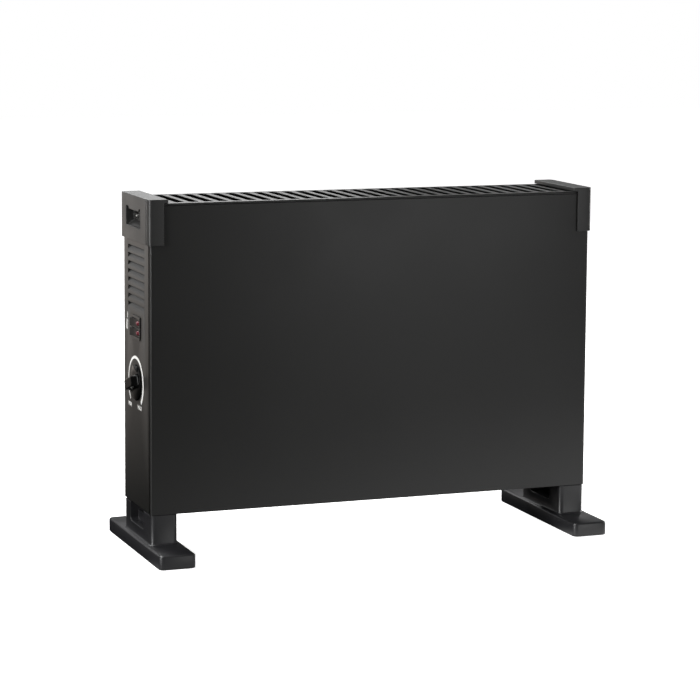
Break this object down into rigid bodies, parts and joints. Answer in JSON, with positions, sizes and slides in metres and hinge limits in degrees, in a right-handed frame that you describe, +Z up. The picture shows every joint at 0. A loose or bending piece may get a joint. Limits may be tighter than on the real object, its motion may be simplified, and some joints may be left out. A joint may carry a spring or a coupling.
{
  "type": "panel convector heater",
  "caption": "Free-standing electric panel convector heater with slotted top, moulded end caps with handle pockets, side switch and thermostat knob, on two cross feet.",
  "frame": {"origin": "on the floor, under the middle of the overall box", "axes": "+X along the casing, from the control side to the plain side; the front faces -Y; +Z up"},
  "size_m": [0.53, 0.205, 0.3892],
  "materials": {
    "black_paint": "satin powder-coated steel, near black",
    "black_plastic": "satin moulded ABS, black",
    "foot_plastic": "satin moulded plastic, black",
    "gloss_plastic": "glossy black moulding",
    "zinc_steel": "zinc-coated steel sheet",
    "bright_steel": "bright plated steel",
    "mica": "pressed mica board",
    "nichrome": "dull resistance ribbon",
    "phenolic": "dark brown phenolic moulding",
    "white_nylon": "white nylon",
    "red_lens": "clear red lens",
    "rubber": "black rubber",
    "brown_wire": "brown insulation",
    "blue_wire": "blue insulation"
  },
  "bodies": {
    "heater": {"front_panel": "black_paint", "rear_panel": "black_paint", "left_side_panel": "black_paint", "right_side_panel": "black_paint", "top_grille": "black_paint", "bottom_grille": "zinc_steel", "left_end_cap": "black_plastic", "right_end_cap": "black_plastic", "left_cap_bracket": "zinc_steel", "right_cap_bracket": "zinc_steel", "left_foot": "foot_plastic", "right_foot": "foot_plastic", "left_cap_screw": "bright_steel", "right_cap_screw": "bright_steel", "left_foot_front_screw": "bright_steel", "left_foot_rear_screw": "bright_steel", "right_foot_front_screw": "bright_steel", "right_foot_rear_screw": "bright_steel", "rear_panel_screw_1": "bright_steel", "rear_panel_screw_2": "bright_steel", "rear_panel_screw_3": "bright_steel", "rear_panel_screw_4": "bright_steel", "rear_panel_screw_5": "bright_steel", "rear_panel_screw_6": "bright_steel", "thermostat_upper_screw": "bright_steel", "thermostat_lower_screw": "bright_steel", "switch_housing": "gloss_plastic", "thermostat_body": "phenolic", "control_partition": "zinc_steel", "element_bracket": "zinc_steel", "front_heat_shield": "zinc_steel", "rear_heat_shield": "zinc_steel", "front_mica_board": "mica", "rear_mica_board": "mica", "front_winding": "nichrome", "rear_winding": "nichrome", "thermal_cutout": "bright_steel", "terminal_block": "white_nylon", "cord_gland": "rubber", "live_wire": "brown_wire", "thermostat_wire": "brown_wire", "front_element_wire": "brown_wire", "neutral_wire": "blue_wire", "rear_element_wire": "blue_wire", "earth_wire": "rubber"},
    "upper_rocker": {"upper_rocker": "gloss_plastic", "upper_lamp_lens": "red_lens"},
    "lower_rocker": {"lower_rocker": "gloss_plastic", "lower_lamp_lens": "red_lens"},
    "knob": {"thermostat_knob": "gloss_plastic", "thermostat_shaft": "zinc_steel"}
  },
  "joints": [
    {"name": "upper_rocker_tilt", "type": "hinge", "parent": "heater", "child": "upper_rocker", "pos_m": [-0.2524, 0.002, 0.2507], "axis": [0, 0, -1], "range_deg": [0, 16]},
    {"name": "lower_rocker_tilt", "type": "hinge", "parent": "heater", "child": "lower_rocker", "pos_m": [-0.2524, 0.002, 0.2401], "axis": [0, 0, -1], "range_deg": [0, 16]},
    {"name": "thermostat_turn", "type": "hinge", "parent": "heater", "child": "knob", "pos_m": [-0.2555, 0.002, 0.1849], "axis": [1, 0, 0], "range_deg": [-32, 248]}
  ]
}
